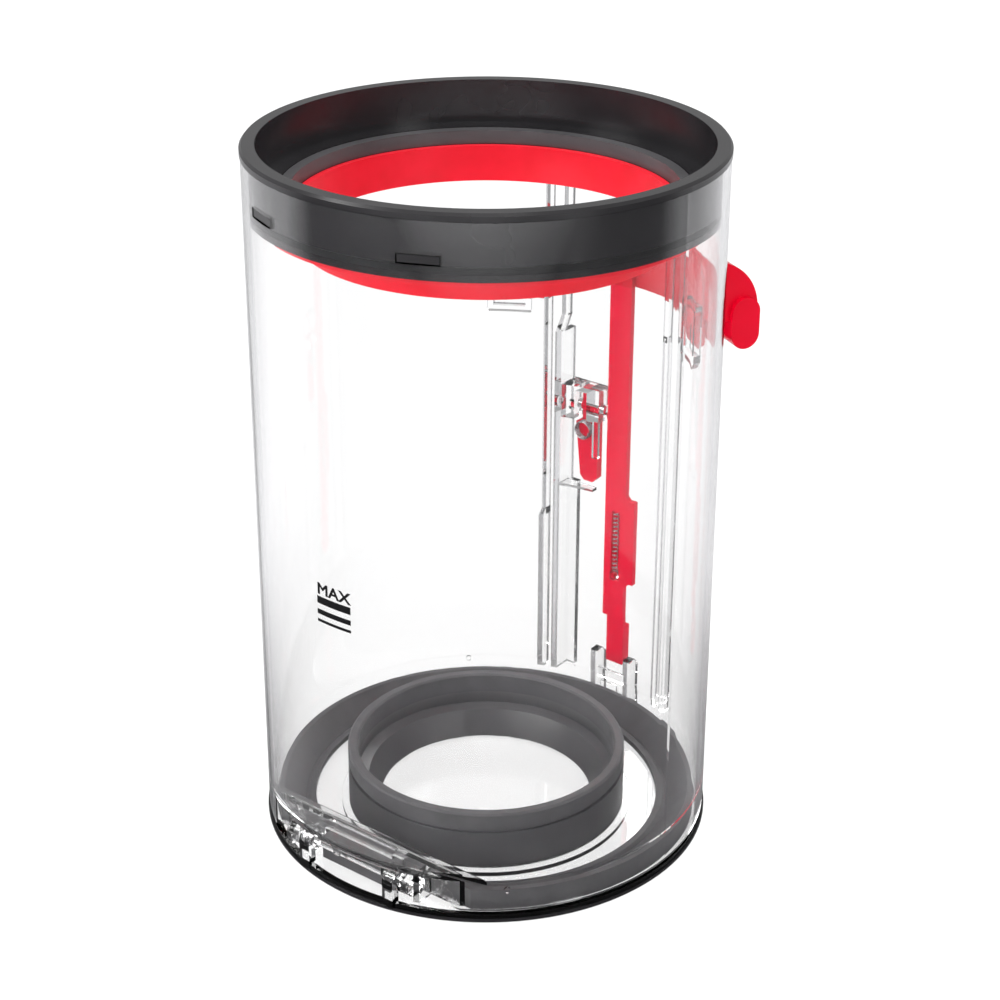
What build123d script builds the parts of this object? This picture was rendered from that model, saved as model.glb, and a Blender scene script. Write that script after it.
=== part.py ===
from build123d import *
import os
from math import cos, pi, sin, sqrt

# Clear dust bin of a stick vacuum: tube, mouth collar, hinged door and the emptying mechanism.
# Millimetres, +Z up along the bin's axis. The origin is on the axis, in the plane the bin stands on.
# The door hinges on the -Y side. The lever, push rod and release catch run down the +Y side.
# Angles are in degrees about the axis, from +X towards +Y.

# Gaps that several pieces share
CUT_OVER = 1.0
SEAT_GAP = 0.1
SIDE_GAP = 0.6
PIN_FIT = 0.05

# Springs, drawn with flat facets
COIL_STEPS = 14
COIL_SIDES = 6

# Tube
TUBE_R = 59.0
TUBE_WALL = 1.8
TUBE_BOTTOM = 3.5
TUBE_TOP = 183.0
BORE_R = TUBE_R - TUBE_WALL
MID_WALL_R = TUBE_R - TUBE_WALL / 2
LEAD_IN = 0.4
LEAD_IN_TOP = 11.5
PIP_ANGLE = -46.5
PIP_R = 0.8
PIP_HIGH = 0.7
PIP_Z = 10.0

# Mouth collar
HEIGHT = 185.2
FLANGE_R = 59.2
FLANGE_TOP_R = 58.6
FLANGE_BEVEL = 0.7
COLLAR_GAP = 0.15
COLLAR_R = BORE_R - COLLAR_GAP
MOUTH_R = 55.4
COLLAR_FLOOR = 173.9
COLLAR_BOTTOM = 168.9
COLLAR_HOLE_R = 50.5
SEAL_TOP = 172.4
SEAL_BOTTOM = 170.6
SEAL_DEPTH = 2.2

# Snap windows through the tube for the collar's nibs
SNAP_ANGLE = 23.7
SNAP_WIDTH = 10.4
SNAP_LOW = 172.8
SNAP_HIGH = 175.3
SNAP_GAP = 0.3
SNAP_SHY = 0.4

# Scraper and the ring that holds it
RING_TOP = 173.7
RING_OUT_R = COLLAR_HOLE_R - COLLAR_GAP
RING_IN_R = 47.5
RING_SKIRT_R = 48.5
SCRAPER_FLANGE_R = 55.2
SCRAPER_THICK = 1.6
SCRAPER_TOP_R = 47.3
SCRAPER_TOP = 170.0
SCRAPER_LIP_R = 45.0
SCRAPER_LIP = 160.8
SCRAPER_EDGE = 0.6

# Door, its rim and its seals
RIM_R = 59.4
RIM_IN_R = 57.0
RIM_THICK = 1.2
RIM_BEVEL = 0.5
DOOR_R = 59.0
DOOR_THICK = 1.4
DOOR_TOP = RIM_THICK + DOOR_THICK
PAN_R = 37.6
PAN_LOW = 0.0
PAN_WALL = 1.8
PAN_FLOOR = 1.5
DOOR_SEAL_R = 56.3
DOOR_SEAL_IN_R = 46.4
DOOR_SEAL_TOP = 8.4
DOOR_SEAL_LIP = 1.5
DOOR_SEAL_WEB = 1.6
DOOR_SEAL_GROOVE = 1.0
DOOR_SEAL_FLAT = 46.4
DOOR_SEAL_IN_FLAT = 43.2
SEAL_TONGUE_X = 12.0
SEAL_TONGUE_Y = -53.0
INNER_R = 37.4
INNER_BORE_R = 34.6
INNER_TOP = 18.2
INNER_STEP = 12.6
INNER_GROOVE = 0.8
INNER_BEVEL = 0.5
FUNNEL_R = 31.8
FUNNEL_LOW_R = 28.6
FUNNEL_HIGH = 8.4

# Hinge pocket on the -Y side
POCKET_FLAT = 50.0
POCKET_WALL = 1.8
POCKET_ROOF = 12.2
ROOF_THICK = 1.4
ROOF_SHELF = 45.0
SHELF_DROP = 1.5
PANEL_LOW = 4.3
WINDOW_X = 13.0
WINDOW_HIGH = 9.2
NOTCH_X = 9.6
NOTCH_HIGH = 10.4
APRON_X = 11.6
APRON_LOW = 9.4
APRON_Y = -57.2
APRON_THICK = 1.4
APRON_RIB_X = -2.6
APRON_RIB_WIDTH = 3.0
APRON_RIB_LOW = 9.8
APRON_RIB_DEEP = 0.9
CHEEK_X = 20.6
CHEEK_THICK = 1.5
PIN_Y = -54.6
PIN_Z = 8.6
PIN_R = 1.8
PIN_BOSS_R = 2.8
PIN_BOSS_LENGTH = 4.0
HOOK_R = 3.2
HOOK_X = 12.4
HOOK_WIDTH = 3.4
HOOK_ARM = 2.4

# Rails of the runner on the +Y side
RAIL_ROOT = 48.0
RAIL_X = 17.4
RAIL_WEB = 1.8
RAIL_LIP = 4.4
RAIL_LIP_THICK = 1.6
RAIL_Y = 63.4
RAIL_LOW = 9.0
LEFT_RAIL_HIGH = 114.6
RIGHT_RAIL_HIGH = 119.6
JOGGLE = 1.8
JOGGLE_RISE = 5.5
NECK_Y = 58.9
FIN_X = 21.2
FIN_WIDTH = 1.2
FIN_Y = 57.4
FIN_HIGH = 160.0
STEP_X = 23.2
STEP_HIGH = 58.0
STEP_SLOPE = 6.0

# Push rod, its foot and its spring
ROD_WIDTH = 7.2
ROD_Y = 60.4
ROD_THICK = 1.8
ROD_TOP = 131.0
ROD_LOW = 30.2
ROD_TRAVEL = 7.0
WING = 3.2
WING_LOW = 42.2
WING_HIGH = 68.0
WING_BEVEL = 1.0
WING_RAMP = 1.9
POCKET_X = 0.3
POCKET_WIDTH = 2.9
POCKET_LOW = 42.2
POCKET_HIGH = 63.6
POCKET_BACK = 0.5
SPRING_LOW = 45.0
SPRING_R = 0.95
SPRING_WIRE = 0.36
SPRING_TURNS = 14
STOP_THICK = 2.2
FOOT_LEFT = -2.6
FOOT_RIGHT = 3.3
FOOT_BOTTOM = 14.9
FOOT_FRONT_Y = 61.4
FOOT_STEP = 27.0
FOOT_NECK_Y = 62.8
FOOT_BACK_Y = 65.0

# Emptying lever
LEVER_IN_R = 62.4
LEVER_THICK = 2.6
LEVER_LOW = 131.0
LEVER_HIGH = 147.0
LEVER_FROM = 58.5
LEVER_TO = 122.0
LEVER_CORNER = 2.5
LEVER_BROW = 9.0
LOBE_LOW = 122.8
LOBE_SPAN = 11.0
PADDLE_LOW = 122.2
PADDLE_SPAN = 11.0
PAD_ANGLE = 61.0
PAD_WIDTH = 13.0
PAD_R = 73.4
PAD_ROOF_DROP = 14.0
REST_LOW = 123.3
REST_TALL = 14.0
REST_DEEP = 8.0
REST_PROUD = 1.5
GUIDE_ANGLES = (61.5, 122.0)
GUIDE_WIDTHS = (10.0, 12.4)
GUIDE_DROPS = (2.2, 0.0)
GUIDE_LOW = 119.6
GUIDE_HIGH = 135.0
GUIDE_R = 61.7
GUIDE_BAR = 1.6
GUIDE_TIP = 0.3
TONGUE_HIGH = 132.4
TONGUE_LOW = 128.8

# Release catch beside the rod
CATCH_X = -11.5
CATCH_WIDTH = 7.6
CATCH_NECK = 3.0
CATCH_HIGH = 97.2
CATCH_SHOULDER = 88.6
CATCH_LOW = 69.8
CATCH_TAPER = 1.7
CATCH_CORNER = 1.4
CATCH_Y = 61.4
CATCH_THICK = 2.6
CATCH_PIVOT_Y = CATCH_Y + CATCH_THICK / 2
CATCH_PIVOT_Z = 92.4
CATCH_STUB_R = 1.5
CATCH_STUB_REACH = 5.0
BRACKET_GAP = 0.4
BRACKET_WIDTH = 4.0
BRACKET_LOW = 89.6
BRACKET_Y = 65.2
BRIDGE_LOW = 98.0
BRIDGE_THICK = 1.4
BRIDGE_Y = 63.6
POST_X = -7.6
POST_WIDTH = 1.8
POST_LOW = 78.8
POST_Y = 59.9
LEDGE_Z = 68.4
LEDGE_THICK = 0.8
LEDGE_END_X = -7.0
LEDGE_Y = 60.6
CATCH_SPRING_Z = 86.0
CATCH_SPRING_R = 2.7
CATCH_SPRING_WIRE = 0.5
CATCH_SPRING_TURNS = 3

# Door latch on the +Y side
LATCH_X = 4.7
LATCH_WALL = 2.4
LATCH_Y = 59.8
LATCH_DEEP = 5.0
LATCH_ROOT = 4.0
LATCH_HIGH = 17.6
LATCH_CHAMFER = 2.0
LATCH_PLATE = 1.1
LATCH_BAR_LOW = 9.4
LATCH_BAR_HIGH = 12.3
LATCH_SILL = 5.0
NIB_X = 3.0
NIB_Y = 59.4


def block(x0, x1, y0, y1, z0, z1):
    """A box between two corners."""
    size = (abs(x1 - x0), y1 - y0, z1 - z0)
    middle = ((x0 + x1) / 2, (y0 + y1) / 2, (z0 + z1) / 2)
    return Pos(*middle) * Box(*size)


def disc(radius, z0, z1):
    """A round plate about the bin's axis."""
    return Pos(0, 0, (z0 + z1) / 2) * Cylinder(radius, z1 - z0)


def turned(points):
    """A ring turned about the bin's axis from a closed outline of (radius, height) points."""
    outline = make_face(Plane.XZ * Polyline(*points, close=True))
    return revolve(outline, Axis.Z)


def pin_along_x(x0, x1, y, z, radius):
    """A round pin that lies along X."""
    return Pos((x0 + x1) / 2, y, z) * Rot(0, 90, 0) * Cylinder(radius, abs(x1 - x0))


def plate_across_y(points, y0, y1):
    """A plate cut to a closed outline of (x, z) points, between two Y planes."""
    base = Plane((0, y0, 0), x_dir=(1, 0, 0), z_dir=(0, -1, 0))
    return extrude(make_face(base * Polyline(*points, close=True)), y1 - y0, dir=(0, 1, 0))


def bar_along_x(points, x0, x1):
    """A bar with a closed section of (y, z) points, between two X planes."""
    base = Plane((x0, 0, 0), x_dir=(0, 1, 0), z_dir=(1, 0, 0))
    return extrude(make_face(base * Polyline(*points, close=True)), x1 - x0, dir=(1, 0, 0))


def sector(r0, r1, z0, z1, start, end):
    """Part of a ring between two angles."""
    outline = make_face(Plane.XZ * Polyline((r0, z0), (r1, z0), (r1, z1), (r0, z1), close=True))
    return Rot(0, 0, start) * revolve(outline, Axis.Z, end - start)


def standing(width, r0, r1, z0, z1, angle):
    """A block that stands out from the tube at an angle."""
    return Rot(0, 0, angle) * block(r0, r1, -width / 2, width / 2, z0, z1)


def on_tube(fitting):
    """What is left of a fitting outside the middle of the tube's wall, where it joins the wall."""
    return fitting - disc(MID_WALL_R, 0, TUBE_TOP)


def coil(radius, wire, length, turns):
    """A compression spring from z = 0 upwards, its wire in short straight lengths."""
    steps = turns * COIL_STEPS
    middle_r = radius - wire / 2
    points = []
    for step in range(steps + 1):
        turn = 2 * pi * step / COIL_STEPS
        points.append((middle_r * cos(turn), middle_r * sin(turn), wire / 2 + (length - wire) * step / steps))
    path = Polyline(*points)
    section = Plane(origin=path @ 0, z_dir=path % 0) * RegularPolygon(wire / 2, COIL_SIDES)
    return sweep(section, path=path, transition=Transition.RIGHT)


def tube_shell():
    """The plain tube, with a slightly wider lead-in at its lower end."""
    wide = BORE_R + LEAD_IN
    return turned([
        (wide, TUBE_BOTTOM), (TUBE_R, TUBE_BOTTOM), (TUBE_R, TUBE_TOP), (BORE_R, TUBE_TOP),
        (BORE_R, LEAD_IN_TOP + LEAD_IN), (wide, LEAD_IN_TOP)])


def snap_angles():
    """Where the four snap nibs sit, in pairs astride the hinge and the runner."""
    return [side + step for side in (-90, 90) for step in (-SNAP_ANGLE, SNAP_ANGLE)]


def hinge_pocket(tube):
    """Cuts the round wall away over the hinge and closes it with a flat wall, a roof and two cheeks."""
    envelope = disc(TUBE_R, 0, TUBE_TOP)
    reach = TUBE_R + CUT_OVER
    roof_top = POCKET_ROOF + ROOF_THICK
    tube -= block(-reach, reach, -reach, -POCKET_FLAT, 0, POCKET_ROOF)
    wall = block(-reach, reach, -POCKET_FLAT, POCKET_WALL - POCKET_FLAT, PANEL_LOW, roof_top)
    wall -= block(-WINDOW_X, WINDOW_X, -reach, 0, 0, WINDOW_HIGH)
    wall -= block(NOTCH_X, WINDOW_X, -reach, 0, 0, NOTCH_HIGH)
    roof = bar_along_x([
        (-reach, POCKET_ROOF), (-POCKET_FLAT, POCKET_ROOF), (-ROOF_SHELF, POCKET_ROOF - SHELF_DROP),
        (-ROOF_SHELF, roof_top - SHELF_DROP), (-POCKET_FLAT, roof_top), (-reach, roof_top)], -reach, reach)
    tube += (wall + roof) & envelope
    for side in (-1, 1):
        inner = side * CHEEK_X
        outer = side * (CHEEK_X + CHEEK_THICK)
        cheek = block(inner, outer, -reach, -POCKET_FLAT, PANEL_LOW, POCKET_ROOF)
        tube += cheek & envelope
        tube += pin_along_x(inner, side * (CHEEK_X - PIN_BOSS_LENGTH), PIN_Y, PIN_Z, PIN_BOSS_R)
        tube += pin_along_x(inner, side * HOOK_X, PIN_Y, PIN_Z, PIN_R)
    return tube + apron()


def apron():
    """The short flap that hangs from the pocket's roof between the hinge hooks, with a tapered rib."""
    flap = block(-APRON_X, APRON_X, APRON_Y, APRON_Y + APRON_THICK, APRON_LOW, POCKET_ROOF + ROOF_THICK / 2)
    top = APRON_RIB_WIDTH / 2
    tip = top / 2
    return flap + plate_across_y([
        (APRON_RIB_X - top, POCKET_ROOF), (APRON_RIB_X + top, POCKET_ROOF),
        (APRON_RIB_X + tip, APRON_RIB_LOW), (APRON_RIB_X - tip, APRON_RIB_LOW)],
        APRON_Y - APRON_RIB_DEEP, APRON_Y + APRON_THICK / 2)


def rail(high, joggle):
    """One side of the runner, on +X: a lipped rail, its slimmer neck above, and a low fin outside it."""
    web_out = RAIL_X + RAIL_WEB
    neck_low = high + JOGGLE_RISE
    web = block(RAIL_X, web_out, RAIL_ROOT, RAIL_Y, RAIL_LOW, high)
    neck = plate_across_y([
        (RAIL_X, high), (web_out, high), (web_out - joggle, neck_low), (web_out - joggle, FIN_HIGH),
        (RAIL_X - joggle, FIN_HIGH), (RAIL_X - joggle, neck_low)], RAIL_ROOT, NECK_Y)
    fin = block(FIN_X, FIN_X + FIN_WIDTH, RAIL_ROOT, FIN_Y, RAIL_LOW, FIN_HIGH)
    return web + neck + fin


def rail_lip(high):
    """The lip that turns in from the edge of a rail, on +X."""
    web_out = RAIL_X + RAIL_WEB
    return block(web_out - RAIL_LIP, web_out, RAIL_Y - RAIL_LIP_THICK, RAIL_Y, RAIL_LOW, high)


def runner():
    """Both rails. The left one's lip ends under the release catch, and its fin has a step low down."""
    right = rail(RIGHT_RAIL_HIGH, 0) + rail_lip(RIGHT_RAIL_HIGH)
    left = mirror(rail(LEFT_RAIL_HIGH, JOGGLE) + rail_lip(LEDGE_Z), Plane.YZ)
    left += plate_across_y([
        (-STEP_X, RAIL_LOW), (-STEP_X, STEP_HIGH), (-FIN_X, STEP_HIGH + STEP_SLOPE), (-FIN_X, RAIL_LOW)],
        RAIL_ROOT, FIN_Y)
    return on_tube(right + left)


def lever_guide(angle, width, drop):
    """A frame that keeps the lever's tongue in line, with its lower edge drawn down to a point."""
    half = width / 2
    foot = GUIDE_LOW + GUIDE_BAR
    base = Plane((MID_WALL_R, 0, 0), x_dir=(0, 1, 0), z_dir=(1, 0, 0))
    corners = [(half, GUIDE_HIGH), (half, GUIDE_LOW), (-half, GUIDE_LOW), (-half, GUIDE_HIGH)]
    if drop:
        corners.insert(2, (-GUIDE_TIP * width, GUIDE_LOW - drop))
    frame = extrude(make_face(base * Polyline(*corners, close=True)), GUIDE_R - MID_WALL_R, dir=(1, 0, 0))
    clear = half - GUIDE_BAR
    frame -= block(TUBE_R, GUIDE_R + CUT_OVER, -clear, clear, foot, GUIDE_HIGH - GUIDE_BAR)
    return Rot(0, 0, angle) * frame


def catch_bracket():
    """Two blocks that carry the release catch, a bridge over it, a post beside it and a ledge below."""
    inner = CATCH_NECK / 2 + BRACKET_GAP
    outer = inner + BRACKET_WIDTH
    bridge_top = BRIDGE_LOW + BRIDGE_THICK
    bracket = block(CATCH_X - outer, CATCH_X + outer, RAIL_ROOT, BRIDGE_Y, BRIDGE_LOW, bridge_top)
    for side in (-1, 1):
        near = CATCH_X + side * inner
        far = CATCH_X + side * outer
        bracket += block(near, far, RAIL_ROOT, BRACKET_Y, BRACKET_LOW, BRIDGE_LOW)
    bracket -= pin_along_x(
        CATCH_X - CATCH_STUB_REACH - SIDE_GAP, CATCH_X + outer + CUT_OVER, CATCH_PIVOT_Y, CATCH_PIVOT_Z,
        CATCH_STUB_R + PIN_FIT)
    bracket += block(POST_X, POST_X + POST_WIDTH, RAIL_ROOT, POST_Y, POST_LOW, BRACKET_LOW)
    bracket += block(-RAIL_X, LEDGE_END_X, RAIL_ROOT, LEDGE_Y, LEDGE_Z, LEDGE_Z + LEDGE_THICK)
    return on_tube(bracket)


def spring_stop():
    """The tab on the tube that the rod's spring pushes against."""
    half = POCKET_WIDTH / 2 - SIDE_GAP
    back = ROD_Y + ROD_THICK - POCKET_BACK - SIDE_GAP / 2
    stop = block(POCKET_X - half, POCKET_X + half, RAIL_ROOT, back, SPRING_LOW - STOP_THICK, SPRING_LOW)
    return on_tube(stop)


def latch_nib():
    """The small ledge on the tube in the window of the door's latch."""
    return on_tube(block(-NIB_X, NIB_X, RAIL_ROOT, NIB_Y, LATCH_SILL + SIDE_GAP, LATCH_BAR_LOW - SIDE_GAP))


def make_bin_tube():
    """The clear moulding that everything else hangs on."""
    tube = hinge_pocket(tube_shell())
    for angle in snap_angles():
        tube -= standing(SNAP_WIDTH, BORE_R - CUT_OVER, TUBE_R + CUT_OVER, SNAP_LOW, SNAP_HIGH, angle)
    tube += runner()
    for angle, width, drop in zip(GUIDE_ANGLES, GUIDE_WIDTHS, GUIDE_DROPS):
        tube += lever_guide(angle, width, drop)
    tube += catch_bracket()
    for angle in (PIP_ANGLE, PIP_ANGLE + 180):
        pip = Pos(TUBE_R, 0, PIP_Z) * Rot(0, 90, 0) * Cylinder(PIP_R, 2 * PIP_HIGH)
        tube += Rot(0, 0, angle) * pip
    return tube + spring_stop() + latch_nib()


def make_collar():
    """The mouth collar: flange, wall inside the tube, floor, seal groove and snap nibs."""
    groove_r = COLLAR_R - SEAL_DEPTH
    flange_low = TUBE_TOP + COLLAR_GAP
    collar = turned([
        (MOUTH_R, HEIGHT), (FLANGE_TOP_R, HEIGHT), (FLANGE_R, HEIGHT - FLANGE_BEVEL), (FLANGE_R, flange_low),
        (COLLAR_R, flange_low), (COLLAR_R, SEAL_TOP), (groove_r, SEAL_TOP), (groove_r, SEAL_BOTTOM),
        (COLLAR_R, SEAL_BOTTOM), (COLLAR_R, COLLAR_BOTTOM), (COLLAR_HOLE_R, COLLAR_BOTTOM),
        (COLLAR_HOLE_R, COLLAR_FLOOR), (MOUTH_R, COLLAR_FLOOR)])
    for angle in snap_angles():
        collar += standing(
            SNAP_WIDTH - 2 * SNAP_GAP, COLLAR_R - CUT_OVER, TUBE_R - SNAP_SHY,
            SNAP_LOW + SNAP_GAP, SNAP_HIGH - SNAP_GAP, angle)
    return collar


def make_collar_seal():
    """The rubber band in the collar's groove."""
    inner = COLLAR_R - SEAL_DEPTH + COLLAR_GAP
    low = SEAL_BOTTOM + SEAT_GAP
    high = SEAL_TOP - SEAT_GAP
    return turned([(inner, low), (COLLAR_R, low), (COLLAR_R, high), (inner, high)])


def make_scraper_ring():
    """The grey ring in the middle of the collar."""
    step = SCRAPER_TOP + SEAT_GAP
    return turned([
        (RING_IN_R, step), (RING_IN_R, RING_TOP), (RING_OUT_R, RING_TOP), (RING_OUT_R, COLLAR_BOTTOM),
        (RING_SKIRT_R, COLLAR_BOTTOM), (RING_SKIRT_R, step)])


def make_scraper():
    """The silicone wiper: a flange under the collar and a lip that leans inwards."""
    flange_top = COLLAR_BOTTOM - SEAT_GAP
    flange_low = flange_top - SCRAPER_THICK
    lip_out = SCRAPER_LIP_R + SCRAPER_EDGE
    return turned([
        (SCRAPER_TOP_R - SCRAPER_THICK, SCRAPER_TOP), (SCRAPER_TOP_R, SCRAPER_TOP),
        (SCRAPER_TOP_R, flange_top), (SCRAPER_FLANGE_R, flange_top), (SCRAPER_FLANGE_R, flange_low),
        (SCRAPER_TOP_R, flange_low), (lip_out, SCRAPER_LIP), (SCRAPER_LIP_R, SCRAPER_LIP)])


def hinge_hook(side):
    """A hook of the door that turns on one of the tube's stub pins, on a slim arm at the door's edge."""
    low, high = sorted((side * HOOK_X, side * (HOOK_X + HOOK_WIDTH)))
    front = PIN_Y - HOOK_R
    hook = pin_along_x(low, high, PIN_Y, PIN_Z, HOOK_R)
    hook += block(low, high, front, front + HOOK_ARM, RIM_THICK, PIN_Z)
    return hook - pin_along_x(low - CUT_OVER, high + CUT_OVER, PIN_Y, PIN_Z, PIN_R + PIN_FIT)


def door_latch():
    """The yoke that stands up behind the tube: two prongs and a plate with a window for the tube's nib."""
    far = LATCH_X + LATCH_WALL
    back = LATCH_Y + LATCH_DEEP
    plate_back = LATCH_Y + LATCH_PLATE
    yoke = block(-far, far, TUBE_R - LATCH_ROOT, back, RIM_THICK, DOOR_TOP)
    yoke += block(-far, far, LATCH_Y, plate_back, LATCH_BAR_LOW, LATCH_BAR_HIGH)
    yoke += block(-far, far, LATCH_Y, plate_back, RIM_THICK, LATCH_SILL)
    for side in (-1, 1):
        prong = block(side * LATCH_X, side * far, LATCH_Y, back, RIM_THICK, LATCH_HIGH)
        corner = prong.edges().filter_by(Axis.X).group_by(Axis.Z)[-1].sort_by(Axis.Y)[-1]
        yoke += chamfer(corner, LATCH_CHAMFER)
    return yoke


def make_base_door():
    """The clear door plate with its shallow middle pan, hinge hooks and latch."""
    pan_out = PAN_R + PAN_WALL
    door = turned([
        (0, PAN_LOW), (pan_out, PAN_LOW), (pan_out, RIM_THICK), (DOOR_R, RIM_THICK), (DOOR_R, DOOR_TOP),
        (PAN_R, DOOR_TOP), (PAN_R, PAN_FLOOR), (0, PAN_FLOOR)])
    for side in (-1, 1):
        door += hinge_hook(side)
    return door + door_latch()


def make_door_rim():
    """The dark rim under the door's edge."""
    return turned([
        (RIM_IN_R, 0), (RIM_R - RIM_BEVEL, 0), (RIM_R, RIM_BEVEL), (RIM_R, RIM_THICK), (RIM_IN_R, RIM_THICK)])


def make_door_seal():
    """The lip seal on the door, straight on the hinge side, with a tongue that fills the pocket's window."""
    web_top = DOOR_TOP + DOOR_SEAL_WEB
    groove_out = DOOR_SEAL_IN_R + DOOR_SEAL_LIP + DOOR_SEAL_GROOVE
    ring = turned([
        (DOOR_SEAL_IN_FLAT, DOOR_TOP), (DOOR_SEAL_R, DOOR_TOP), (DOOR_SEAL_R, DOOR_SEAL_TOP),
        (DOOR_SEAL_R - DOOR_SEAL_LIP, DOOR_SEAL_TOP), (groove_out, DOOR_TOP + DOOR_SEAL_GROOVE),
        (groove_out - DOOR_SEAL_GROOVE, web_top), (DOOR_SEAL_IN_FLAT, web_top)])
    keep = block(-TUBE_R, TUBE_R, -DOOR_SEAL_FLAT, TUBE_R, 0, INNER_TOP)
    straight = block(-TUBE_R, TUBE_R, -DOOR_SEAL_IN_FLAT, TUBE_R, 0, INNER_TOP)
    hollow = disc(DOOR_SEAL_IN_R, 0, INNER_TOP) & straight
    lip_back = DOOR_SEAL_LIP - DOOR_SEAL_FLAT
    front_lip = block(-TUBE_R, TUBE_R, -DOOR_SEAL_FLAT, lip_back, DOOR_TOP, DOOR_SEAL_TOP)
    tongue = block(-SEAL_TONGUE_X, SEAL_TONGUE_X, SEAL_TONGUE_Y, lip_back, DOOR_TOP, DOOR_SEAL_TOP)
    seal = (ring & keep) - hollow + (front_lip & disc(DOOR_SEAL_R, DOOR_TOP, DOOR_SEAL_TOP))
    return seal + tongue


def make_inner_collar():
    """The ring round the fine-dust chamber, lower tier, with a funnel inside it."""
    return turned([
        (FUNNEL_LOW_R, PAN_FLOOR), (INNER_R, PAN_FLOOR), (INNER_R, INNER_STEP), (INNER_BORE_R, INNER_STEP),
        (INNER_BORE_R, FUNNEL_HIGH + INNER_GROOVE), (FUNNEL_R, FUNNEL_HIGH)])


def make_inner_collar_lip():
    """The upper tier of that ring, with a small groove where the two meet."""
    groove_r = INNER_R - INNER_GROOVE
    groove_top = INNER_STEP + INNER_GROOVE
    bevel_low = INNER_TOP - INNER_BEVEL
    return turned([
        (INNER_BORE_R, INNER_STEP), (groove_r, INNER_STEP), (groove_r, groove_top),
        (INNER_R, groove_top + INNER_BEVEL), (INNER_R, bevel_low), (INNER_R - INNER_BEVEL, INNER_TOP),
        (INNER_BORE_R + INNER_BEVEL, INNER_TOP), (INNER_BORE_R, bevel_low)])


def make_push_rod():
    """The flat rod down the back, with a wing and a pocket for its spring."""
    half = ROD_WIDTH / 2
    tip = half + WING
    rod = plate_across_y([
        (-half, ROD_LOW), (half, ROD_LOW), (half, WING_LOW - WING_RAMP), (half + WING_RAMP, WING_LOW),
        (tip, WING_LOW), (tip, WING_HIGH), (half + WING_BEVEL, WING_HIGH), (half, WING_HIGH + WING_BEVEL),
        (half, ROD_TOP), (-half, ROD_TOP)], ROD_Y, ROD_Y + ROD_THICK)
    left = POCKET_X - POCKET_WIDTH / 2
    right = POCKET_X + POCKET_WIDTH / 2
    back = ROD_Y + ROD_THICK - POCKET_BACK
    return rod - block(left, right, ROD_Y - CUT_OVER, back, POCKET_LOW, POCKET_HIGH)


def make_rod_foot():
    """The thicker lower end of the rod, set back to pass behind the bar of the door's latch."""
    return bar_along_x([
        (FOOT_FRONT_Y, ROD_LOW), (FOOT_FRONT_Y, FOOT_BOTTOM), (FOOT_BACK_Y, FOOT_BOTTOM),
        (FOOT_BACK_Y, FOOT_STEP), (FOOT_NECK_Y, FOOT_STEP), (FOOT_NECK_Y, ROD_LOW)], FOOT_LEFT, FOOT_RIGHT)


def make_rod_spring():
    """The return spring in the rod's pocket."""
    length = POCKET_HIGH - SPRING_LOW - 2 * SEAT_GAP
    middle_y = ROD_Y + ROD_THICK - POCKET_BACK - SEAT_GAP - SPRING_R
    return Pos(POCKET_X, middle_y, SPRING_LOW + SEAT_GAP) * coil(SPRING_R, SPRING_WIRE, length, SPRING_TURNS)


def lever_corners(lever):
    """The straight edges through the lever's thickness, with the one over the thumb pad last."""
    edges = [edge for edge in lever.edges() if abs(edge.length - LEVER_THICK) < PIN_FIT]
    return sorted(edges, key=lambda edge: edge.center().X + edge.center().Z)


def make_empty_lever():
    """The crossbar that hugs the tube, its two guide tongues and the thumb pad."""
    out_r = LEVER_IN_R + LEVER_THICK
    lever = sector(LEVER_IN_R, out_r, LEVER_LOW, LEVER_HIGH, LEVER_FROM, LEVER_TO)
    lever += sector(LEVER_IN_R, out_r, PADDLE_LOW, LEVER_HIGH, LEVER_FROM, LEVER_FROM + PADDLE_SPAN)
    lever += sector(LEVER_IN_R, out_r, LOBE_LOW, LEVER_HIGH, LEVER_TO - LOBE_SPAN, LEVER_TO)
    lever = fillet(lever_corners(lever)[:-1], LEVER_CORNER)
    lever = fillet(lever_corners(lever)[-1], LEVER_BROW)
    half = ROD_WIDTH / 2
    lever += block(-half, half, ROD_Y, LEVER_IN_R + CUT_OVER, ROD_TOP, LEVER_HIGH)
    for angle, width in zip(GUIDE_ANGLES, GUIDE_WIDTHS):
        tongue = width - 2 * (GUIDE_BAR + SIDE_GAP)
        lever += standing(
            tongue, TUBE_R + SIDE_GAP, LEVER_IN_R + CUT_OVER, TONGUE_LOW, TONGUE_HIGH, angle)
    return lever + thumb_pad()


def thumb_pad():
    """The pad at the lever's end: a roof that curves down and out, over an oval finger rest."""
    low_r = LEVER_IN_R + LEVER_THICK / 2
    eave = LEVER_HIGH - PAD_ROOF_DROP
    roof = RadiusArc((low_r, LEVER_HIGH), (PAD_R, eave), PAD_ROOF_DROP)
    under = Polyline((PAD_R, eave), (PAD_R, LEVER_LOW), (low_r, LEVER_LOW), (low_r, LEVER_HIGH))
    hood = extrude(Plane.XZ * make_face([roof, under]), PAD_WIDTH, dir=(0, 1, 0))
    middle = Pos(PAD_R - REST_DEEP / 2, REST_LOW + REST_TALL / 2)
    oval = middle * Rot(0, 0, 90) * SlotOverall(REST_TALL, REST_DEEP)
    rest = extrude(Plane.XZ * oval, PAD_WIDTH + REST_PROUD, dir=(0, 1, 0))
    pad = hood + Pos(0, -REST_PROUD, 0) * rest
    return Rot(0, 0, PAD_ANGLE) * Pos(0, -PAD_WIDTH / 2, 0) * pad


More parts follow.
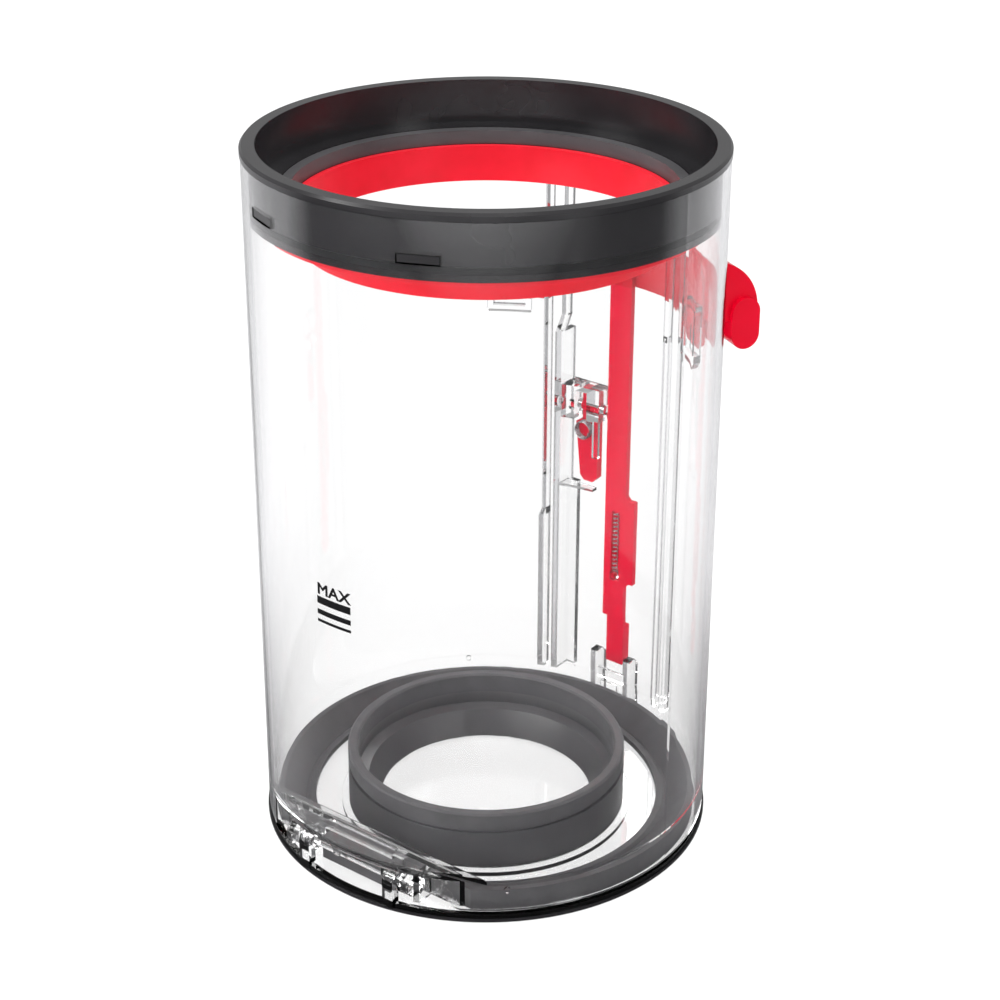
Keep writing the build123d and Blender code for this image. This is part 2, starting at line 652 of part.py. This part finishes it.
def make_release_catch():
    """The sprung catch: a tapered blade with a narrow neck, on two stubs."""
    left = CATCH_X - CATCH_WIDTH / 2
    right = CATCH_X + CATCH_WIDTH / 2
    neck = CATCH_NECK / 2
    plate = plate_across_y([
        (CATCH_X - neck, CATCH_HIGH), (CATCH_X + neck, CATCH_HIGH), (CATCH_X + neck, CATCH_SHOULDER),
        (right, CATCH_SHOULDER), (right, CATCH_LOW + CATCH_CORNER), (right - CATCH_CORNER, CATCH_LOW),
        (left + CATCH_TAPER + CATCH_CORNER, CATCH_LOW), (left + CATCH_TAPER, CATCH_LOW + CATCH_CORNER),
        (left, CATCH_SHOULDER - CATCH_CORNER), (CATCH_X - neck, CATCH_SHOULDER)],
        CATCH_Y, CATCH_Y + CATCH_THICK)
    return plate + pin_along_x(
        CATCH_X - CATCH_STUB_REACH, CATCH_X + CATCH_STUB_REACH, CATCH_PIVOT_Y, CATCH_PIVOT_Z, CATCH_STUB_R)


def make_catch_spring():
    """The small coil between the tube and the catch."""
    near_x = abs(CATCH_X) - CATCH_SPRING_R
    wall_y = sqrt(TUBE_R ** 2 - near_x ** 2) + SEAT_GAP
    length = CATCH_Y - wall_y - SEAT_GAP
    return Pos(CATCH_X, wall_y, CATCH_SPRING_Z) * Rot(-90, 0, 0) * coil(
        CATCH_SPRING_R, CATCH_SPRING_WIRE, length, CATCH_SPRING_TURNS)


PIECES = {
    "bin_tube": make_bin_tube,
    "collar": make_collar,
    "collar_seal": make_collar_seal,
    "scraper_ring": make_scraper_ring,
    "scraper": make_scraper,
    "base_door": make_base_door,
    "door_rim": make_door_rim,
    "door_seal": make_door_seal,
    "inner_collar": make_inner_collar,
    "inner_collar_lip": make_inner_collar_lip,
    "empty_lever": make_empty_lever,
    "push_rod": make_push_rod,
    "rod_foot": make_rod_foot,
    "rod_spring": make_rod_spring,
    "release_catch": make_release_catch,
    "catch_spring": make_catch_spring,
}

os.makedirs("parts", exist_ok=True)
for name, make in PIECES.items():
    export_step(make(), f"parts/{name}.step")
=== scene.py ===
import math

import bpy
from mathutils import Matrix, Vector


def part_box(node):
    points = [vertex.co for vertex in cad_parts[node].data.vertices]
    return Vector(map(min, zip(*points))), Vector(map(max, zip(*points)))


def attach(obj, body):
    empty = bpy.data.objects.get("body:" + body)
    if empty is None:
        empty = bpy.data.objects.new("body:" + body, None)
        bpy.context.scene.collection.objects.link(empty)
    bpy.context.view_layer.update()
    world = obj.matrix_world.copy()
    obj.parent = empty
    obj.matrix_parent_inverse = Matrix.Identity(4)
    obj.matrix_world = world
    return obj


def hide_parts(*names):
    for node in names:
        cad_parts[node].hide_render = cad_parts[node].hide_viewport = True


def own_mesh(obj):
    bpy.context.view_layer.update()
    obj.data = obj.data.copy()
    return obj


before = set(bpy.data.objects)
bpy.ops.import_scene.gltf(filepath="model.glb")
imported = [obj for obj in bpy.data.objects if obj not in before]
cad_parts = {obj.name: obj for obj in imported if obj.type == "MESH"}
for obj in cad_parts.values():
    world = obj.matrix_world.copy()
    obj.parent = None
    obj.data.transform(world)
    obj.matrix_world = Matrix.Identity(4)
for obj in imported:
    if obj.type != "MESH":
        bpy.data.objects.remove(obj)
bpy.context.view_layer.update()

bl_info = {
    "name": "Cyclone dust bin",
    "version": (1, 0, 0),
    "blender": (4, 5, 0),
    "location": "View3D > Sidebar > Dust bin",
    "description": "Dresses a clear vacuum dust bin and sets it on a studio floor",
    "category": "Object",
}

MM = 0.001
PICTURE_PX = 1000
ROD_TURNS, ROD_KEEP = 14, 0.615
CATCH_TURNS, CATCH_KEEP = 3, 0.66
WIRE_SIDES, TURN_STEPS = 12, 24
LENS_SHIFT = (0.014, -0.04)
BOUNCES = 18
SENSOR_MM = 36
MIDDLE = (0, 0, 90 * MM)
# Name, place, size, power in watts, and whether mirror reflections show it
SOFTBOXES = (
    ("Key box", (-0.5, -0.75, 0.75), (0.5, 0.5), 4.5, True),
    ("Side strip", (0.85, -0.15, 0.3), (0.24, 0.6), 1.4, True),
    ("Low box", (-0.25, -1.1, 0.2), (0.8, 0.35), 7.0, False),
    ("Top box", (0.05, -0.1, 1.0), (0.45, 0.45), 4.2, True),
    ("Back box", (-0.2, 0.9, 0.6), (0.7, 0.4), 4.0, False),
)


class DustBinLooks(bpy.types.PropertyGroup):
    """Sizes and finishes of the dressed bin."""

    tube_radius: bpy.props.FloatProperty(
        name="Tube radius", description="Outer radius of the clear tube", default=59 * MM, unit="LENGTH")
    mark_top: bpy.props.FloatProperty(
        name="Mark top", description="Height of the top of the level mark's letters", default=87.8 * MM,
        unit="LENGTH")
    mark_width: bpy.props.FloatProperty(
        name="Mark width", description="Width of the level mark", default=10.7 * MM, unit="LENGTH")
    letter_height: bpy.props.FloatProperty(
        name="Letter height", description="Height of the level mark's capitals", default=3.1 * MM,
        unit="LENGTH")
    ink_lift: bpy.props.FloatProperty(
        name="Ink lift", description="How far the print stands off the tube", default=0.06 * MM,
        unit="LENGTH")
    rod_wire: bpy.props.FloatProperty(
        name="Rod spring wire", description="Wire of the rod's spring", default=0.36 * MM, unit="LENGTH")
    catch_wire: bpy.props.FloatProperty(
        name="Catch spring wire", description="Wire of the catch's spring", default=0.5 * MM,
        unit="LENGTH")
    clear_ior: bpy.props.FloatProperty(
        name="Clear plastic IOR", description="Refractive index of the clear plastic", default=1.57,
        min=1, max=2)
    gloss: bpy.props.FloatProperty(
        name="Gloss roughness", description="Roughness of the polished plastic", default=0.2,
        min=0, max=1, subtype="FACTOR")


class DustBinStage(bpy.types.PropertyGroup):
    """Camera, light and floor."""

    azimuth: bpy.props.FloatProperty(
        name="Azimuth", description="Camera's turn about the bin, from -Y towards +X",
        default=math.radians(38.4), subtype="ANGLE")
    pitch: bpy.props.FloatProperty(
        name="Pitch", description="How far the camera looks down", default=math.radians(24.28),
        subtype="ANGLE")
    distance: bpy.props.FloatProperty(
        name="Distance", description="Camera's distance from the bin's axis", default=513.0 * MM,
        unit="LENGTH")
    height: bpy.props.FloatProperty(
        name="Height", description="Camera's height over the floor", default=331.8 * MM, unit="LENGTH")
    focal_px: bpy.props.FloatProperty(
        name="Focal length", description="Focal length in pixels of the picture", default=2200)
    floor_size: bpy.props.FloatProperty(
        name="Floor size", description="Side of the square floor", default=6.0, unit="LENGTH")
    floor_gap: bpy.props.FloatProperty(
        name="Floor gap", description="Air under the bin, so that light gets below its clear door",
        default=0.3 * MM, unit="LENGTH")
    floor_clear: bpy.props.FloatProperty(
        name="Floor clearness", description="How much light the acrylic floor lets through",
        default=0.85, min=0, max=1, subtype="FACTOR")


def linear(code):
    """An sRGB hex colour as linear RGBA."""
    shares = [int(code[i:i + 2], 16) / 255 for i in (1, 3, 5)]
    return [s / 12.92 if s <= 0.04045 else ((s + 0.055) / 1.055) ** 2.4 for s in shares] + [1.0]


def add(tree, kind, inputs=None, **attributes):
    """Adds a node, sets its attributes and fills its inputs from values or other nodes' outputs."""
    node = tree.nodes.new(kind)
    for key, value in attributes.items():
        setattr(node, key, value)
    for key, value in (inputs or {}).items():
        if isinstance(value, bpy.types.NodeSocket):
            tree.links.new(value, node.inputs[key])
        else:
            node.inputs[key].default_value = value
    return node


def new_material(name):
    """An empty node material."""
    made = bpy.data.materials.new(name)
    made.use_nodes = True
    made.node_tree.nodes.clear()
    return made, made.node_tree


def grain(tree, size_mm, detail=2.0):
    """A soft random pattern with features of a real size, in the piece's own coordinates."""
    place = add(tree, "ShaderNodeTexCoord").outputs["Object"]
    noise = add(tree, "ShaderNodeTexNoise", {
        "Vector": place, "Scale": 1 / (size_mm * MM), "Detail": detail})
    return noise.outputs["Fac"]


def between(tree, pattern, low, high):
    """The pattern spread between two numbers."""
    spread = {"Value": pattern, "From Min": 0.3, "From Max": 0.7, "To Min": low, "To Max": high}
    return add(tree, "ShaderNodeMapRange", spread).outputs["Result"]


def shades(tree, pattern, low, high):
    """The pattern as a ramp between two hex colours."""
    ramp = add(tree, "ShaderNodeValToRGB", {"Fac": pattern})
    first, last = ramp.color_ramp.elements
    first.position, last.position = 0.3, 0.7
    first.color, last.color = linear(low), linear(high)
    return ramp.outputs["Color"]


def bump(tree, pattern, depth_mm, strength=1.0):
    """A normal from a pattern of a real depth."""
    height = {"Height": pattern, "Distance": depth_mm * MM, "Strength": strength}
    return add(tree, "ShaderNodeBump", height).outputs["Normal"]


def close(tree, shader):
    """Joins the shader to the material's output."""
    add(tree, "ShaderNodeOutputMaterial", {"Surface": shader.outputs["BSDF"]})


def clear_plastic(name, ior):
    """Clear moulding: colourless face on, with sharp gloss and edges that the eye sees by refraction alone."""
    made, tree = new_material(name)
    shader = add(tree, "ShaderNodeBsdfPrincipled", {
        "Base Color": linear("#FFFFFF"), "IOR": ior, "Transmission Weight": 1.0,
        "Roughness": between(tree, grain(tree, 9), 0.0, 0.03),
        "Normal": bump(tree, grain(tree, 24), 0.02, 0.3)})
    close(tree, shader)
    return made


def moulded_plastic(name, low, high, roughness, shine=0.5):
    """Polished moulding: a faint cloud in the colour, and a gloss that drifts a little over the surface."""
    made, tree = new_material(name)
    shader = add(tree, "ShaderNodeBsdfPrincipled", {
        "Base Color": shades(tree, grain(tree, 14), low, high), "IOR": 1.53, "Specular IOR Level": shine,
        "Roughness": between(tree, grain(tree, 18), roughness * 0.9, roughness * 1.15)})
    close(tree, shader)
    return made


def soft_rubber(name, low, high, roughness):
    """Rubber: a dull skin with a dusty bloom in patches."""
    made, tree = new_material(name)
    shader = add(tree, "ShaderNodeBsdfPrincipled", {
        "Base Color": shades(tree, grain(tree, 7, 5), low, high), "IOR": 1.45, "Specular IOR Level": 0.3,
        "Roughness": between(tree, grain(tree, 3, 4), roughness * 0.9, roughness * 1.1),
        "Sheen Weight": 0.05, "Sheen Roughness": 0.5,
        "Normal": bump(tree, grain(tree, 0.5), 0.01, 0.5)})
    close(tree, shader)
    return made


def spring_steel(name):
    """Drawn wire: bright metal with a fine mottle in its colour and gloss."""
    made, tree = new_material(name)
    shader = add(tree, "ShaderNodeBsdfPrincipled", {
        "Base Color": shades(tree, grain(tree, 0.6, 4), "#B9BBBE", "#D9DADC"), "Metallic": 1.0,
        "Roughness": between(tree, grain(tree, 0.2), 0.18, 0.34)})
    close(tree, shader)
    return made


def printed_ink(name):
    """Pad-printed ink: near black, with the slight mottle of a thin coat."""
    made, tree = new_material(name)
    shader = add(tree, "ShaderNodeBsdfPrincipled", {
        "Base Color": shades(tree, grain(tree, 0.4, 3), "#0B0B0C", "#151517"), "IOR": 1.5,
        "Specular IOR Level": 0.2, "Roughness": between(tree, grain(tree, 0.8), 0.4, 0.55)})
    close(tree, shader)
    return made


def dress(material, *nodes):
    """Gives a material to every slot of the named solids."""
    for name in nodes:
        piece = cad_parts[name]
        piece.data.materials.clear()
        piece.data.materials.append(material)


class DUSTBIN_OT_clear(bpy.types.Operator):
    """Clear plastic on the tube and the door"""

    bl_idname = "dustbin.clear"
    bl_label = "Clear tube and door"

    def execute(self, context):
        ior = context.scene.dust_bin_looks.clear_ior
        dress(clear_plastic("Clear polycarbonate", ior), "bin_tube")
        dress(clear_plastic("Clear door polycarbonate", ior), "base_door")
        return {"FINISHED"}


class DUSTBIN_OT_dark(bpy.types.Operator):
    """Dark grey plastic on the mouth collar, and the same dark grey on the door's rim as a painted dark edge
    """

    bl_idname = "dustbin.dark"
    bl_label = "Dark collar and rim"

    def execute(self, context):
        # The real door is clear to its edge; the dark grey on its rim is painted shade, the dark outline that
        # the clear edge shows
        dress(moulded_plastic("Dark grey ABS and painted rim edge", "#1C1B1D", "#232224", 0.22, 0.5), "collar", "door_rim")
        return {"FINISHED"}


class DUSTBIN_OT_rings(bpy.types.Operator):
    """Grey plastic on the scraper's ring and the fine-dust ring"""

    bl_idname = "dustbin.rings"
    bl_label = "Grey rings"

    def execute(self, context):
        grey = moulded_plastic("Grey satin ABS", "#434244", "#4C4B4D", 0.38, 0.7)
        dress(grey, "scraper_ring", "inner_collar")
        return {"FINISHED"}


class DUSTBIN_OT_seals(bpy.types.Operator):
    """Dark rubber on the seals"""

    bl_idname = "dustbin.seals"
    bl_label = "Rubber seals"

    def execute(self, context):
        dress(soft_rubber("Black band rubber", "#0F0F10", "#171718", 0.5), "collar_seal")
        dress(soft_rubber("Grey seal rubber", "#454446", "#4E4D4F", 0.5), "door_seal")
        dress(soft_rubber("Soft lip rubber", "#4A494B", "#525153", 0.45), "inner_collar_lip")
        return {"FINISHED"}


class DUSTBIN_OT_scraper(bpy.types.Operator):
    """Red silicone on the wiper under the collar"""

    bl_idname = "dustbin.scraper"
    bl_label = "Red scraper"

    def execute(self, context):
        dress(soft_rubber("Red silicone", "#D80820", "#E20D28", 0.4), "scraper")
        return {"FINISHED"}


class DUSTBIN_OT_mechanism(bpy.types.Operator):
    """Red plastic on the lever, the rod, its foot and the catch"""

    bl_idname = "dustbin.mechanism"
    bl_label = "Red mechanism"

    def execute(self, context):
        gloss = context.scene.dust_bin_looks.gloss
        red = moulded_plastic("Red lever ABS", "#C40220", "#CC0526", gloss, 0.2)
        dress(red, "empty_lever")
        # Same plastic as the lever; the lighter red on the rod, its foot and the catch is painted light,
        # making up for the light they lose behind the clear tube
        red = moulded_plastic("Red ABS painted lighter", "#D8042E", "#E00834", gloss, 0.2)
        dress(red, "push_rod", "rod_foot", "release_catch")
        return {"FINISHED"}


def settle(piece, turn, place):
    """Turns and moves a piece and writes that into its mesh."""
    piece.rotation_euler, piece.location = turn, place
    bpy.ops.object.select_all(action="DESELECT")
    piece.select_set(True)
    bpy.context.view_layer.objects.active = piece
    bpy.ops.object.transform_apply(location=True, rotation=True, scale=True)


def wind_coil(name, wide, long, wire, turns):
    """A coil of round wire that climbs Z from the origin, with its cut ends closed."""
    bpy.ops.object.select_all(action="DESELECT")
    bpy.ops.mesh.primitive_circle_add(vertices=WIRE_SIDES, radius=wire / 2)
    piece = bpy.context.object
    piece.name = name
    settle(piece, (math.pi / 2, 0, 0), ((wide - wire) / 2, 0, wire / 2))
    screw = piece.modifiers.new("Turns", "SCREW")
    screw.screw_offset = (long - wire) / turns
    screw.iterations = turns
    screw.steps = screw.render_steps = TURN_STEPS
    bpy.ops.object.modifier_apply(modifier=screw.name)
    bpy.ops.object.mode_set(mode="EDIT")
    bpy.ops.mesh.select_all(action="SELECT")
    bpy.ops.mesh.fill_holes(sides=0)
    bpy.ops.mesh.select_all(action="SELECT")
    bpy.ops.mesh.normals_make_consistent(inside=False)
    bpy.ops.object.mode_set(mode="OBJECT")
    bpy.ops.object.shade_smooth_by_angle(angle=math.radians(50))
    return piece


class DUSTBIN_OT_springs(bpy.types.Operator):
    """Round-wire coils for the two springs"""

    bl_idname = "dustbin.springs"
    bl_label = "Steel springs"

    def execute(self, context):
        looks = context.scene.dust_bin_looks
        low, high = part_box("rod_spring")
        middle = [(a + b) / 2 for a, b in zip(low, high)]
        rod = wind_coil("rod_coil", high[0] - low[0], high[2] - low[2], looks.rod_wire, ROD_TURNS)
        foot = (middle[0], middle[1], low[2])
        settle(rod, (0, 0, 0), foot)
        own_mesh(rod)
        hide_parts("rod_spring")
        low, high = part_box("catch_spring")
        middle = [(a + b) / 2 for a, b in zip(low, high)]
        catch = wind_coil("catch_coil", high[0] - low[0], high[1] - low[1], looks.catch_wire, CATCH_TURNS)
        foot = (middle[0], low[1], middle[2])
        settle(catch, (-math.pi / 2, 0, 0), foot)
        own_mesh(catch)
        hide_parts("catch_spring")
        steel = spring_steel("Spring steel")
        for piece in (rod, catch):
            piece.data.materials.append(steel)
            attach(piece, "bin")
        return {"FINISHED"}


class DUSTBIN_OT_level_mark(bpy.types.Operator):
    """Printed fill level on the front of the tube: three capitals over three stripes"""

    bl_idname = "dustbin.level_mark"
    bl_label = "Level mark"

    stripes = ((84.0, 82.0), (80.5, 79.1), (77.8, 77.0))

    def execute(self, context):
        looks = context.scene.dust_bin_looks
        front = -looks.tube_radius - 4 * MM
        bpy.ops.object.select_all(action="DESELECT")
        bpy.ops.object.text_add()
        letters = context.object
        letters.data.body = "MAX"
        letters.data.align_x = "CENTER"
        letters.data.bevel_depth = 0.03
        letters.data.bevel_resolution = 0
        bpy.ops.object.convert(target="MESH")
        bpy.ops.object.mode_set(mode="EDIT")
        bpy.ops.mesh.select_all(action="SELECT")
        bpy.ops.mesh.bisect(plane_co=(0, 0, 0.0001), plane_no=(0, 0, 1), clear_inner=True)
        bpy.ops.object.mode_set(mode="OBJECT")
        across = looks.mark_width / letters.dimensions.x
        upward = looks.letter_height / letters.dimensions.y
        letters.scale = (across, upward, upward)
        settle(letters, (math.pi / 2, 0, 0), (0, front, looks.mark_top - looks.letter_height))
        pieces = [letters]
        for high, low in self.stripes:
            bpy.ops.mesh.primitive_grid_add(x_subdivisions=14, y_subdivisions=1, size=1)
            stripe = context.object
            stripe.scale = (looks.mark_width, (high - low) * MM, 1)
            settle(stripe, (math.pi / 2, 0, 0), (0, front, (high + low) / 2 * MM))
            pieces.append(stripe)
        for piece in pieces:
            piece.select_set(True)
        context.view_layer.objects.active = letters
        bpy.ops.object.join()
        letters.name = "level_mark"
        wrap = letters.modifiers.new("Onto the tube", "SHRINKWRAP")
        wrap.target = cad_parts["bin_tube"]
        wrap.wrap_method = "PROJECT"
        wrap.use_project_y = True
        wrap.use_positive_direction = True
        wrap.offset = looks.ink_lift
        bpy.ops.object.modifier_apply(modifier=wrap.name)
        letters.data.materials.clear()
        letters.data.materials.append(printed_ink("Black ink"))
        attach(letters, "bin")
        return {"FINISHED"}


def mirror_ray(tree):
    """One where light comes by a mirror reflection, else zero; the floor uses it for its painted dark
    reflection, and the air to shine dimmer in mirror reflections.
    """
    bounces = add(tree, "ShaderNodeLightPath").outputs["Glossy Depth"]
    return add(tree, "ShaderNodeMath", {0: bounces, 1: 0.5}, operation="GREATER_THAN").outputs["Value"]


def frosted_floor(azimuth, clearness):
    """Frosted acrylic: a pale sheet that lets most light through, with a painted reflection in front of the
    bin.

    Mirror reflections of the floor show a band of dark grey there instead: a painted dark reflection, which
    keeps the clear wall from going milky over what is behind it."""
    made, tree = new_material("Frosted white acrylic")
    shader = add(tree, "ShaderNodeBsdfPrincipled", {
        "Base Color": shades(tree, grain(tree, 60), "#F4F4F5", "#F8F8F8"), "Roughness": 0.8,
        "Specular IOR Level": 0.2})
    place = add(tree, "ShaderNodeTexCoord").outputs["Object"]
    front = add(tree, "ShaderNodeVectorMath", {
        0: place, 1: (math.sin(azimuth), -math.cos(azimuth), 0)}, operation="DOT_PRODUCT")
    near = add(tree, "ShaderNodeMapRange", {
        "Value": front.outputs["Value"], "From Min": -0.12, "From Max": 0.62})
    # Painted dark reflection: a band of the floor along the camera's azimuth turns dark grey, and only mirror
    # rays see it
    painted_reflection = add(tree, "ShaderNodeValToRGB", {"Fac": near.outputs["Result"]})
    for at in (0.24, 0.79):
        painted_reflection.color_ramp.elements.new(at).color = linear("#4C4C4E")
    for end, code in ((0, "#D8D8DA"), (-1, "#E4E4E6")):
        painted_reflection.color_ramp.elements[end].color = linear(code)
    dim = add(tree, "ShaderNodeBsdfPrincipled", {
        "Base Color": painted_reflection.outputs["Color"], "Roughness": 0.8, "Specular IOR Level": 0.2})
    through = add(tree, "ShaderNodeBsdfTransparent")
    sheet = add(tree, "ShaderNodeMixShader", {
        "Fac": clearness, 1: shader.outputs["BSDF"], 2: through.outputs["BSDF"]})
    # Mirror rays see the painted dark reflection, all other rays the frosted sheet
    mirrored = add(tree, "ShaderNodeMixShader", {
        "Fac": mirror_ray(tree), 1: sheet.outputs["Shader"], 2: dim.outputs["BSDF"]})
    add(tree, "ShaderNodeOutputMaterial", {"Surface": mirrored.outputs["Shader"]})
    return made


def studio_air():
    """White light from all round, dimmer in mirror reflections."""
    world = bpy.data.worlds.new("Studio")
    world.use_nodes = True
    tree = world.node_tree
    tree.nodes.clear()
    glare = add(tree, "ShaderNodeMapRange", {"Value": mirror_ray(tree), "To Min": 1.12, "To Max": 0.45})
    air = add(tree, "ShaderNodeBackground", {
        "Color": linear("#FFFFFF"), "Strength": glare.outputs["Result"]})
    add(tree, "ShaderNodeOutputWorld", {"Surface": air.outputs["Background"]})
    return world


def softbox(name, place, size, power, mirrored):
    """A rectangular area light that looks at the bin's middle."""
    bpy.ops.object.light_add(type="AREA", location=place)
    light = bpy.context.object
    light.name = name
    light.visible_glossy = mirrored
    light.data.shape = "RECTANGLE"
    light.data.size, light.data.size_y = size
    light.data.energy = power
    reach = [a - p for a, p in zip(MIDDLE, place)]
    flat = math.hypot(reach[0], reach[1])
    light.rotation_euler = (
        math.pi / 2 + math.atan2(reach[2], flat), 0, math.atan2(-reach[0], reach[1]))


class DUSTBIN_OT_stage(bpy.types.Operator):
    """Pale floor, soft studio light and the camera"""

    bl_idname = "dustbin.stage"
    bl_label = "Stage"

    def execute(self, context):
        stage = context.scene.dust_bin_stage
        bpy.ops.object.select_all(action="DESELECT")
        bpy.ops.mesh.primitive_plane_add(size=stage.floor_size, location=(0, 0, -stage.floor_gap))
        floor = context.object
        floor.name = "floor"
        floor.data.materials.append(frosted_floor(stage.azimuth, stage.floor_clear))
        context.scene.world = studio_air()
        for box in SOFTBOXES:
            softbox(*box)
        bpy.ops.object.camera_add()
        camera = context.object
        around = stage.azimuth
        camera.location = (
            math.sin(around) * stage.distance, -math.cos(around) * stage.distance, stage.height)
        camera.rotation_euler = (math.pi / 2 - stage.pitch, 0, around)
        camera.data.sensor_width = SENSOR_MM
        camera.data.lens = stage.focal_px / PICTURE_PX * SENSOR_MM
        camera.data.shift_x, camera.data.shift_y = LENS_SHIFT
        camera.data.clip_start = 10 * MM
        context.scene.camera = camera
        context.scene.view_settings.view_transform = "Standard"
        # Light crosses many clear walls, and each crossing is a bounce
        context.scene.cycles.blur_glossy = 0.0
        context.scene.cycles.max_bounces = BOUNCES
        context.scene.cycles.transmission_bounces = BOUNCES
        return {"FINISHED"}


class DUSTBIN_PT_panel(bpy.types.Panel):
    """Sidebar panel with the settings and one button per piece"""

    bl_idname = "DUSTBIN_PT_panel"
    bl_label = "Dust bin"
    bl_space_type = "VIEW_3D"
    bl_region_type = "UI"
    bl_category = "Dust bin"

    def draw(self, context):
        for group in (context.scene.dust_bin_looks, context.scene.dust_bin_stage):
            for name in group.__annotations__:
                self.layout.prop(group, name)
        for operator in OPERATORS:
            self.layout.operator(operator.bl_idname)


OPERATORS = (
    DUSTBIN_OT_clear, DUSTBIN_OT_dark, DUSTBIN_OT_rings, DUSTBIN_OT_seals, DUSTBIN_OT_scraper,
    DUSTBIN_OT_mechanism, DUSTBIN_OT_springs, DUSTBIN_OT_level_mark, DUSTBIN_OT_stage)
CLASSES = (DustBinLooks, DustBinStage, *OPERATORS, DUSTBIN_PT_panel)


def register():
    """Registers the classes and hangs the settings on the scene."""
    for item in CLASSES:
        bpy.utils.register_class(item)
    bpy.types.Scene.dust_bin_looks = bpy.props.PointerProperty(type=DustBinLooks)
    bpy.types.Scene.dust_bin_stage = bpy.props.PointerProperty(type=DustBinStage)


def unregister():
    """Takes the settings and the classes away again."""
    del bpy.types.Scene.dust_bin_stage
    del bpy.types.Scene.dust_bin_looks
    for item in reversed(CLASSES):
        bpy.utils.unregister_class(item)


def main():
    """Builds every piece in order."""
    register()
    bpy.ops.dustbin.clear()
    bpy.ops.dustbin.dark()
    bpy.ops.dustbin.rings()
    bpy.ops.dustbin.seals()
    bpy.ops.dustbin.scraper()
    bpy.ops.dustbin.mechanism()
    bpy.ops.dustbin.springs()
    bpy.ops.dustbin.level_mark()
    bpy.ops.dustbin.stage()


if __name__ == "__main__":
    main()
